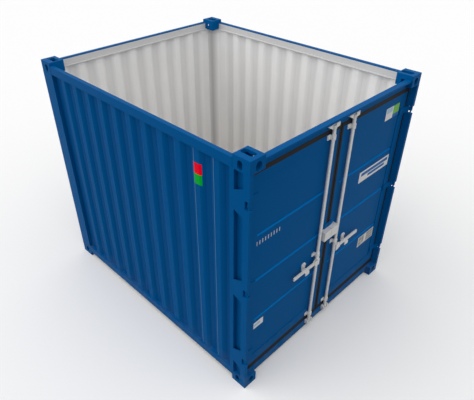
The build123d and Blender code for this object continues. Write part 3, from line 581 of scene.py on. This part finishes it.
# %% Give every piece its finish
FINISHES = {
    "blue_paint": blue_paint, "galvanised": galvanised, "rubber": rubber, "plywood": plywood,
}
INSIDE_FINISHES = {side_rail: ledge_paint, end_rail: ledge_paint, end_corner: corner_shade_paint}
slot_of = {part["node"]: part["material_slot"] for part in frame["record"]["subparts"]}
for name, piece in nodes.items():
    mesh = piece.data
    mesh.materials.clear()
    mesh.materials.append(wall_paint.get(name, FINISHES[slot_of[name]]))
    test = INSIDE_TESTS.get(name)
    if test is None:
        continue
    mesh.materials.append(wall_inside.get(name, INSIDE_FINISHES.get(test, grey_paint)))
    for face in mesh.polygons:
        face.material_index = 1 if test(face.center, face.normal) else 0
print("finishes on", len(nodes), "pieces")

# %% [markdown]
# A few faces run from the outside to the inside, such as the reveals of the leaves' frames,
# which pass the panel. Their finish is two-tone: it changes colour where the sheet stands.
# A groove takes the panel's sheet further back, so at its ends the change lies deeper.

# %% Two-tone paint
TWO_TONE_ROUGHNESS = 0.5
TWO_TONE_MATT = 0.1
SHEET_EDGE = 0.001
SIDE_SHEET_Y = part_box("right_side_wall")[0].y + SHEET_EDGE
END_SHEET_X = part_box("end_wall")[1].x - SHEET_EDGE
RAIL_WRAP = 0.012
GROOVE_DEEP = 0.010
GROOVE_APART = 0.1
GROOVE_MARGIN = 0.012


def groove_ranges(name):
    """Lowest and highest point of each groove in a leaf's panel."""
    spots = [vert.co for vert in nodes[name].data.vertices]
    heights = sorted(spot.z for spot in spots if spot.x < PANEL_FACE - GROOVE_DEEP)
    ranges = [[heights[0], heights[0]]]
    for height in heights:
        if height - ranges[-1][1] > GROOVE_APART:
            ranges.append([height, height])
        ranges[-1][1] = height
    return [(low - GROOVE_MARGIN, high + GROOVE_MARGIN) for low, high in ranges]


grooves = groove_ranges("right_leaf_panel")
panel_depth = leaf["right"][1].x - leaf["right"][0].x


def behind_panel(x, y, z):
    """The sheet stands at the panel's face, and further back where a groove runs out."""
    in_groove = sum((z > low) * (z < high) for low, high in grooves)
    return x + in_groove * panel_depth < PANEL_FACE


def behind_walls(x, y, z):
    return (abs(y) < SIDE_SHEET_Y) * (x > END_SHEET_X)


def below_wrap(x, y, z):
    """The blue of a top rail wraps a little over its inner edge."""
    return z < rail_high.z - RAIL_WRAP


def two_tone(name, is_inside, lighter=INSIDE_GREY, scuffed=INSIDE_SCUFF):
    """Paint that is grey where a test of the place says inside, and blue elsewhere."""
    paint = Finish(name)
    place = paint.place()
    patches = broad_patches(paint, place)
    blue = paint.mix(patches, BLUE, BLUE_WORN)
    grey = paint.mix(patches, lighter, scuffed)
    return paint.surface(
        Base_Color=paint.mix(is_inside(*paint.parts(place)), blue, grey),
        Roughness=TWO_TONE_ROUGHNESS + patches * TWO_TONE_MATT,
        Normal=orange_peel(paint, place),
        Specular_IOR_Level=PAINT_GLOSS,
    )


reveal_paint = two_tone("reveal_paint", behind_panel)
corner_paint = two_tone("corner_paint", behind_walls)
wrap_paint = two_tone("wrap_paint", below_wrap, LEDGE_GREY, LEDGE_SCUFF)
print("grooves at", [round((low + high) / 2, 3) for low, high in grooves])

# %% [markdown]
# These faces are few, so a third finish is laid over the first two, again by a short test.
# The slopes in the leaves' grooves that look up take a much lighter blue as the third finish,
# which is a painted highlight.

# %% Faces with a third finish
SQUARE_ON = 0.9


def third_finish(name, finish, test):
    """Give the faces of a piece that pass a test one more finish."""
    mesh = nodes[name].data
    mesh.materials.append(finish)
    newest = len(mesh.materials) - 1
    for face in mesh.polygons:
        if test(face):
            face.material_index = newest


def inner_side(face):
    """True for the upright inner faces of a top rail."""
    return face.material_index == 1 and abs(face.normal.z) < LOOKS_IN


def on_flank(face):
    """True for the faces of a post that a wall sheet butts against."""
    place, normal = face.center, face.normal
    faces_along = abs(normal.x) > SQUARE_ON and normal.x * place.x < 0
    faces_across = abs(normal.y) > SQUARE_ON and normal.y * place.y < 0 and place.x < 0
    return faces_along or faces_across


def looks_up(face):
    """True for the upward slopes of a groove."""
    return face.normal.x > LOOKS_IN and face.normal.z > LOOKS_IN


def on_reveal(side):
    """A test for the faces of one leaf's frame that look at its panel."""
    low, high = leaf[side]

    def looks_at_panel(face):
        place = face.center
        level = low.z - TOUCH < place.z < high.z + TOUCH
        beside = low.y - TOUCH < place.y < high.y + TOUCH
        return beside and level and abs(face.normal.x) < LOOKS_IN

    return looks_at_panel


third_finish("end_top_rail", wrap_paint, inner_side)
for side in SIDES:
    third_finish(f"{side}_top_rail", wrap_paint, inner_side)
    third_finish(f"{side}_door_post", corner_paint, on_flank)
    third_finish(f"{side}_end_post", corner_paint, on_flank)
    # Painted highlight on the upward slopes of the grooves.
    third_finish(f"{side}_leaf_panel", groove_highlight_paint, looks_up)
    third_finish(f"{side}_leaf_frame", reveal_paint, on_reveal(side))
print("third finish on rails, posts and leaves")

# %% [markdown]
# Small things are joined meshes built from plain lists of corners: a bolt head is a short
# prism, a weld is a thin prism along a seam, and a sticker is a very thin slab. Each joined
# mesh then rides on the body that carries it, so it follows a leaf when that leaf swings.

# %% Helpers for small pieces
HEX = 6
ROUND = 14


def slab(corners, offset):
    """Thin plate on four corners, pushed out along an offset."""
    points = [Vector(corner) for corner in corners]
    points += [point + Vector(offset) for point in points]
    sides = [(i, (i + 1) % 4, (i + 1) % 4 + 4, i + 4) for i in range(4)]
    return points, [(3, 2, 1, 0), (4, 5, 6, 7)] + sides


def prism(start, end, radius, sides):
    """Straight prism with a regular outline between two points."""
    start, end = Vector(start), Vector(end)
    along = (end - start).normalized()
    across = along.orthogonal().normalized()
    beside = along.cross(across)
    turns = [2 * math.pi * (i + 0.5) / sides for i in range(sides)]
    ring = [across * math.cos(turn) * radius + beside * math.sin(turn) * radius for turn in turns]
    points = [start + spoke for spoke in ring] + [end + spoke for spoke in ring]
    walls = [(i, (i + 1) % sides, (i + 1) % sides + sides, i + sides) for i in range(sides)]
    return points, walls + [tuple(reversed(range(sides))), tuple(range(sides, 2 * sides))]


def joined(name, solids, finish, body):
    """One object from many small solids, riding on a body."""
    points, faces = [], []
    for solid_points, solid_faces in solids:
        first = len(points)
        points += solid_points
        faces += [tuple(first + index for index in face) for face in solid_faces]
    mesh = bpy.data.meshes.new(name)
    mesh.from_pydata(points, [], faces)
    mesh.update()
    mesh.materials.append(finish)
    piece = bpy.data.objects.new(name, mesh)
    bpy.context.scene.collection.objects.link(piece)
    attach(piece, body)
    print(name, len(faces), "faces on", body)


print("mesh helpers ready")

# %% [markdown]
# Castings are welded to posts and rails all round. A weld leaves a low, slightly rippled
# bead, and paint goes over it, so it shows as a fine line at every seam. Each bead here is
# a chain of short prisms with slightly different thickness, like the ripples of the arc.

# %% Weld beads at the castings
BEAD_RADIUS = 0.0022
BEAD_STEP = 0.014
BEAD_RIPPLE = 0.18
POST_FRONT = 0.036
RAIL_WIDTH = 0.042
bead_dice = random.Random(4)


def weld(start, end):
    """A rippled bead along one seam."""
    start, end = Vector(start), Vector(end)
    count = max(1, round((end - start).length / BEAD_STEP))
    marks = [start.lerp(end, i / count) for i in range(count + 1)]
    swell = [1 + bead_dice.uniform(-BEAD_RIPPLE, BEAD_RIPPLE) for _ in range(count)]
    return [prism(a, b, BEAD_RADIUS * size, HEX) for a, b, size in zip(marks, marks[1:], swell)]


seams = []
for side in (-1, 1):
    face_y = side * SIDE_Y
    end_y = face_y - side * (end_high.y - end_low.y)
    for z in (post_low.z, post_high.z):
        seams += weld((post_low.x, face_y, z), (DOOR_X, face_y, z))
        seams += weld((DOOR_X, face_y, z), (DOOR_X, face_y - side * POST_FRONT, z))
        seams += weld((base.x, face_y, z), (end_high.x, face_y, z))
        seams += weld((base.x, face_y, z), (base.x, end_y, z))
for side in (-1, 1):
    face_y = side * SIDE_Y
    for x in (rail_low.x, rail_high.x):
        seams += weld((x, face_y, rail_low.z), (x, face_y, rail_high.z))
        seams += weld((x, face_y, rail_high.z), (x, face_y - side * RAIL_WIDTH, rail_high.z))
joined("casting_welds", seams, blue_paint, "frame")

# %% [markdown]
# The guides and the catches are bolted through the leaf, so that worn ones can be changed.
# The heads are zinc-plated hexagons on a washer. Their places follow from the boxes of the
# pieces they hold. The three guides of a bar are one piece, so its loose parts come first.

# %% Bolts on the lock gear
BOLT_RADIUS = 0.0085
BOLT_HEIGHT = 0.0065
WASHER_RADIUS = 0.012
WASHER_HEIGHT = 0.0018
GUIDE_PLATE = 0.006
GUIDE_BOLT_REACH = 0.043
CATCH_BOLT_REACH = 0.018
CATCH_BOLT_DROP = 0.02
SAME_SPOT = 1e-6


def bolt(seat):
    """Hexagon head on a washer, looking out of the door end."""
    seat = Vector(seat)
    washer = seat + Vector((WASHER_HEIGHT, 0, 0))
    head = washer + Vector((BOLT_HEIGHT, 0, 0))
    return [prism(seat, washer, WASHER_RADIUS, ROUND), prism(washer, head, BOLT_RADIUS, HEX)]


def loose_parts(name):
    """Boxes of the separate solids of a node, from the bottom up."""
    bm = bmesh.new()
    bm.from_mesh(nodes[name].data)
    bmesh.ops.remove_doubles(bm, verts=bm.verts, dist=SAME_SPOT)
    left = set(bm.verts)
    boxes = []
    while left:
        island, front = set(), [left.pop()]
        while front:
            vert = front.pop()
            island.add(vert)
            fresh = {edge.other_vert(vert) for edge in vert.link_edges} & left
            left -= fresh
            front += fresh
        spots = [vert.co for vert in island]
        low = Vector([min(spot[i] for spot in spots) for i in range(3)])
        high = Vector([max(spot[i] for spot in spots) for i in range(3)])
        boxes.append((low, high))
    bm.free()
    return sorted(boxes, key=lambda box: box[0].z)


for side in SIDES:
    heads = []
    for low, high in loose_parts(f"{side}_bar_guides"):
        middle = (low + high) / 2
        for reach in (-GUIDE_BOLT_REACH, GUIDE_BOLT_REACH):
            heads += bolt((low.x + GUIDE_PLATE, middle.y + reach, middle.z))
    low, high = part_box(f"{side}_handle_catch")
    middle = (low + high) / 2
    for reach in (-CATCH_BOLT_REACH, CATCH_BOLT_REACH):
        heads += bolt((low.x + GUIDE_PLATE, middle.y + reach, high.z - CATCH_BOLT_DROP))
    joined(f"{side}_bolts", heads, galvanised, f"{side}_door")

# %% [markdown]
# Stickers and plates go on last. Printed film is smooth and fades unevenly. Here every
# printed field is a plain block of colour, so that the part can be used anywhere.

# %% Printed film
FILM = 0.0008
FILM_GLOSS = 0.05
FILM_ROUGHNESS = 0.34
FADE_GRAIN = (25.0, 4.0, 0.6)
FADE_LIMITS = (0.35, 0.8)
FADE_SHARE = 0.6
FADE_MATT = 0.2
WORN_KEEPS = 0.9
WORN_ADDS = 0.006
RIPPLE_GRAIN = (140.0, 2.0)
RIPPLE_STRENGTH = 0.03
RIPPLE_DEPTH = 0.0005
# One of these tints is a pale blue for the painted highlight lines on the left wall.
film_tints = {
    "white": (0.80, 0.80, 0.79), "sky": (0.42, 0.62, 0.80), "green": (0.22, 0.52, 0.10),
    "blue": (0.03, 0.16, 0.42), "grey": (0.60, 0.60, 0.60), "shade": (0.33, 0.33, 0.33),
    "red": (0.95, 0.0, 0.02), "leaf": (0.0, 0.42, 0.035), "ridge_highlight": (0.16, 0.30, 0.50),
}


def printed_film(name, colour):
    film = Finish(f"film_{name}")
    place = film.place()
    faded = film.ramp(film.noise(place, *FADE_GRAIN), *FADE_LIMITS)
    worn = rgba(*(channel * WORN_KEEPS + WORN_ADDS for channel in colour))
    return film.surface(
        Base_Color=film.mix(faded * FADE_SHARE, rgba(*colour), worn),
        Roughness=FILM_ROUGHNESS + faded * FADE_MATT,
        Normal=film.bump(film.noise(place, *RIPPLE_GRAIN), RIPPLE_STRENGTH, RIPPLE_DEPTH),
        Specular_IOR_Level=FILM_GLOSS,
    )


films = {name: printed_film(name, colour) for name, colour in film_tints.items()}
print("films", sorted(films))

# %% [markdown]
# A label is a few fields on each other, so every field has a layer: the ground of the label
# is the first, and what is printed on it the second. A field is given by its leaf, its range
# across the container and its range in height.

# %% Labels on the leaves
LABELS = (
    ("right_upper_label", "right", (0.786, 0.920), (2.190, 2.325), "white", 1),
    ("right_upper_label_band", "right", (0.800, 0.906), (2.262, 2.312), "sky", 2),
    ("right_upper_label_green", "right", (0.920, 1.035), (2.226, 2.325), "green", 1),
    ("right_upper_label_foot", "right", (0.920, 1.035), (2.190, 2.226), "blue", 1),
    ("right_long_label", "right", (0.478, 1.038), (1.607, 1.732), "white", 1),
    ("right_long_label_band", "right", (0.512, 1.016), (1.676, 1.712), "blue", 2),
    ("right_long_label_foot", "right", (0.640, 0.960), (1.634, 1.664), "blue", 2),
    ("left_low_label", "left", (-1.044, -0.908), (0.673, 0.750), "white", 1),
    ("left_low_label_band", "left", (-1.034, -0.950), (0.700, 0.730), "sky", 2),
)


def field(ys, zs, layer):
    """A thin slab on a leaf's panel."""
    x = PANEL_FACE + FILM * (layer - 1)
    corners = [(x, ys[0], zs[0]), (x, ys[1], zs[0]), (x, ys[1], zs[1]), (x, ys[0], zs[1])]
    return slab(corners, (FILM, 0, 0))


def sticker(name, side, ys, zs, film, layer):
    """One field of colour as a piece that rides on its leaf."""
    joined(name, [field(ys, zs, layer)], films[film], f"{side}_door")


for label in LABELS:
    sticker(*label)

# %% [markdown]
# A short row of stencilled dashes stands on the left leaf, near its hinges and about two thirds
# of the way up. They are plain, all of one size, and evenly spread from the first to the last.

# %% Row of dashes
ROW_START, ROW_END = -1.043, -0.748
ROW_HEIGHTS = (1.696, 1.738)
DASH_COUNT = 9
DASH_WIDTH = 0.010
dashes = []
for index in range(DASH_COUNT):
    y = ROW_START + (ROW_END - ROW_START - DASH_WIDTH) * index / (DASH_COUNT - 1)
    dashes.append(field((y, y + DASH_WIDTH), ROW_HEIGHTS, 1))
joined("left_number_row", dashes, films["grey"], "left_door")

# %% [markdown]
# The data plate is a grey sheet, riveted to the right leaf. Darker and lighter fields lie on
# it, and small rivets hold its corners. The fields are given as shares of the plate, so they
# stay on it if the plate changes.

# %% Data plate
PLATE_Y = (0.720, 1.040)
PLATE_Z = (0.618, 0.758)
FIELD_SHARES = (
    ((0.06, 0.21), (0.56, 0.90), "shade"), ((0.06, 0.21), (0.12, 0.44), "shade"),
    ((0.25, 0.37), (0.28, 0.84), "shade"), ((0.42, 0.50), (0.10, 0.92), "white"),
    ((0.55, 0.93), (0.68, 0.90), "shade"), ((0.55, 0.93), (0.40, 0.59), "shade"),
    ((0.55, 0.93), (0.12, 0.31), "shade"),
)
PLATE_LAYER = 2
RIVET_RADIUS = 0.005
RIVET_HEIGHT = 0.003
RIVET_MARGIN = 0.008


def shares_of(limits, shares):
    """Places between two limits, given as shares of the way."""
    return [limits[0] + (limits[1] - limits[0]) * share for share in shares]


sticker("data_plate", "right", PLATE_Y, PLATE_Z, "grey", PLATE_LAYER)
for index, (across, up, film) in enumerate(FIELD_SHARES):
    ys, zs = shares_of(PLATE_Y, across), shares_of(PLATE_Z, up)
    sticker(f"data_plate_field_{index}", "right", ys, zs, film, PLATE_LAYER + 1)
rivets = []
for y in (PLATE_Y[0] + RIVET_MARGIN, PLATE_Y[1] - RIVET_MARGIN):
    for z in (PLATE_Z[0] + RIVET_MARGIN, PLATE_Z[1] - RIVET_MARGIN):
        seat = Vector((PANEL_FACE + PLATE_LAYER * FILM, y, z))
        rivets.append(prism(seat, seat + Vector((RIVET_HEIGHT, 0, 0)), RIVET_RADIUS, ROUND))
joined("data_plate_rivets", rivets, galvanised, "right_door")

# %% [markdown]
# Two coloured squares sit on the left wall, a red one over a green one. Film bends over a
# fold, so each square is a row of narrow strips that follow the ridge of the sheet. The
# pale lines beside them are thin pale-blue prisms down the edges of the first two ridges,
# which are painted highlights.

# %% Squares and painted highlight lines on the left wall
SHEET = 0.002
RIDGE_Y = wall_low.y
VALLEY_STEP = wall_high.y - wall_low.y - SHEET
RIDGE_HALF = 0.030
SLOPE_RUN = 0.052
SECOND_RIDGE_X = DOOR_X - 0.585
FIRST_RIDGE_X = DOOR_X - 0.359
SQUARE_X = (DOOR_X - 0.629, DOOR_X - 0.533)
SQUARES = {"red_square": ("red", (2.238, 2.338)), "green_square": ("leaf", (2.140, 2.238))}
STRIPS = 16
HIGHLIGHT_LINE_RADIUS = 0.0022


def ridge_y(x, middle):
    """Outer face of the left sheet near a ridge."""
    past = max(abs(x - middle) - RIDGE_HALF, 0) / SLOPE_RUN
    return RIDGE_Y + VALLEY_STEP * min(past, 1)


def bent_square(zs):
    """Narrow strips over a ridge, each a thin slab."""
    xs = [SQUARE_X[0] + (SQUARE_X[1] - SQUARE_X[0]) * i / STRIPS for i in range(STRIPS + 1)]
    strips = []
    for a, b in zip(xs, xs[1:]):
        ya, yb = ridge_y(a, SECOND_RIDGE_X), ridge_y(b, SECOND_RIDGE_X)
        corners = [(a, ya, zs[0]), (b, yb, zs[0]), (b, yb, zs[1]), (a, ya, zs[1])]
        strips.append(slab(corners, (0, -FILM, 0)))
    return strips


for name, (film, zs) in SQUARES.items():
    joined(name, bent_square(zs), films[film], "frame")
# Painted highlight: pale lines down the edges of the first two ridges.
lines = []
for middle in (FIRST_RIDGE_X, SECOND_RIDGE_X):
    x = middle - RIDGE_HALF
    ends = (x, RIDGE_Y, wall_low.z), (x, RIDGE_Y, wall_high.z)
    lines.append(prism(*ends, HIGHLIGHT_LINE_RADIUS, HEX))
joined("ridge_highlight_lines", lines, films["ridge_highlight"], "frame")

# %% [markdown]
# Water that runs down the walls inside must not reach the rails, so the gap between the
# floor and each sheet is filled with grey mastic. The filling follows the folds, so its
# outer line is read from the foot of the sheet and its inner line is the floor's edge.
# The floor is cut square round the end posts, and a small fillet closes each of these gaps.

# %% Mastic round the floor
MASTIC_RISE = 0.0015
NEAR_FOOT = 0.001
FLOOR_GAP = 0.0015
KEY_DIGITS = 4
floor_low, floor_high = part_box("floor_panel")


def sheet_foot(name, along, across, outwards):
    """Height and inner line at the foot of a corrugated sheet, in order along it."""
    spots = [vert.co for vert in nodes[name].data.vertices]
    foot = min(spot.z for spot in spots)
    inner = {}
    for spot in spots:
        if spot.z < foot + NEAR_FOOT:
            key = round(spot[along], KEY_DIGITS)
            reaches = (inner.get(key, spot[across]), spot[across])
            inner[key] = min(reaches, key=lambda reach: reach * outwards)
    return foot, sorted(inner.items())


def mastic_strip(name, along, across, outwards, floor_edge):
    """Thin slabs between the foot of a sheet and the floor's edge."""
    foot, line = sheet_foot(name, along, across, outwards)
    strips = []
    for (start, near), (end, far) in zip(line, line[1:]):
        corners = []
        for place, reach in ((start, near), (end, far), (end, floor_edge), (start, floor_edge)):
            corner = Vector((0, 0, foot))
            corner[along], corner[across] = place, reach
            corners.append(corner)
        strips.append(slab(corners, (0, 0, MASTIC_RISE)))
    return strips


def corner_fillet(side):
    """Flat filling between the sloped face of an end post and the floor's notch."""
    foot = min(vert.co.z for vert in nodes["end_wall"].data.vertices)
    near, far = base.x + POST_FLANK, end_high.x + FLOOR_GAP
    flank, inner = side * (SIDE_Y - POST_FLANK), side * (abs(end_high.y) - FLOOR_GAP)
    outline = [(near, side * abs(end_high.y)), (end_high.x, flank), (far, inner), (near, inner)]
    return slab([(x, y, foot) for x, y in outline], (0, 0, MASTIC_RISE))


mastic = [corner_fillet(-1), corner_fillet(1)]
mastic += mastic_strip("left_side_wall", X_AXIS, Y_AXIS, -1, floor_low.y)
mastic += mastic_strip("right_side_wall", X_AXIS, Y_AXIS, 1, floor_high.y)
mastic += mastic_strip("end_wall", Y_AXIS, X_AXIS, -1, floor_low.x)
joined("floor_mastic", mastic, ledge_paint, "frame")

# %% [markdown]
# The stage is a pale floor under soft light. An even dome alone would flatten the
# corrugations, so a lamp off the left side, towards the blind end, shapes them, and a weaker
# one high over the door end opens up the doors. Both are suns with a wide disc, because a
# sun lights the floor evenly far into the background. The floor and the sky show white to
# the camera and in the gloss of paint and zinc, but throw back less light than they seem
# to, because the sides in the photograph stay much darker than the tops.

# %% Floor and light
FLOOR_SIZE = 80.0
FLOOR_WHITE = rgba(0.95, 0.95, 0.95)
FLOOR_BOUNCE = rgba(0.12, 0.12, 0.12)
DOME_WHITE = rgba(1.0, 1.0, 1.0)
DOME_STRENGTH = 0.70
KEY_LIGHT = Vector((-0.16, -0.23, 0.20))
FILL_LIGHT = Vector((0.10, -0.03, 0.14))
SUN_DISC = 1.3


def stage_floor():
    """A large square that shows white, and is darker to the light that bounces."""
    half = FLOOR_SIZE / 2
    corners = [(-half, -half, 0), (half, -half, 0), (half, half, 0), (-half, half, 0)]
    mesh = bpy.data.meshes.new("floor")
    mesh.from_pydata(corners, [], [(0, 1, 2, 3)])
    floor = bpy.data.objects.new("floor", mesh)
    bpy.context.scene.collection.objects.link(floor)
    ground = Finish("studio_floor")
    shade = ground.mix(ground.shown(), FLOOR_BOUNCE, FLOOR_WHITE)
    mesh.materials.append(ground.surface(Base_Color=shade, Roughness=1.0, Specular_IOR_Level=0.0))


def broad_sun(name, light):
    """A soft sun. The vector points to it, and its parts are what it adds along each axis."""
    lamp = bpy.data.lights.new(name, "SUN")
    lamp.energy = light.length * math.pi
    lamp.angle = SUN_DISC
    holder = bpy.data.objects.new(name, lamp)
    bpy.context.scene.collection.objects.link(holder)
    holder.rotation_mode = "QUATERNION"
    holder.rotation_quaternion = light.to_track_quat("Z", "Y")


def even_dome():
    """A sky that shows white, and lights the container less than it shows."""
    world = bpy.data.worlds.new("studio")
    world.use_nodes = True
    bpy.context.scene.world = world
    net = Net(world.node_tree)
    sky = world.node_tree.nodes["Background"]
    net.feed(sky.inputs["Color"], DOME_WHITE)
    net.feed(sky.inputs["Strength"], net.shown() * (1 - DOME_STRENGTH) + DOME_STRENGTH)


stage_floor()
broad_sun("key", KEY_LIGHT)
broad_sun("fill", FILL_LIGHT)
even_dome()
print("stage ready")
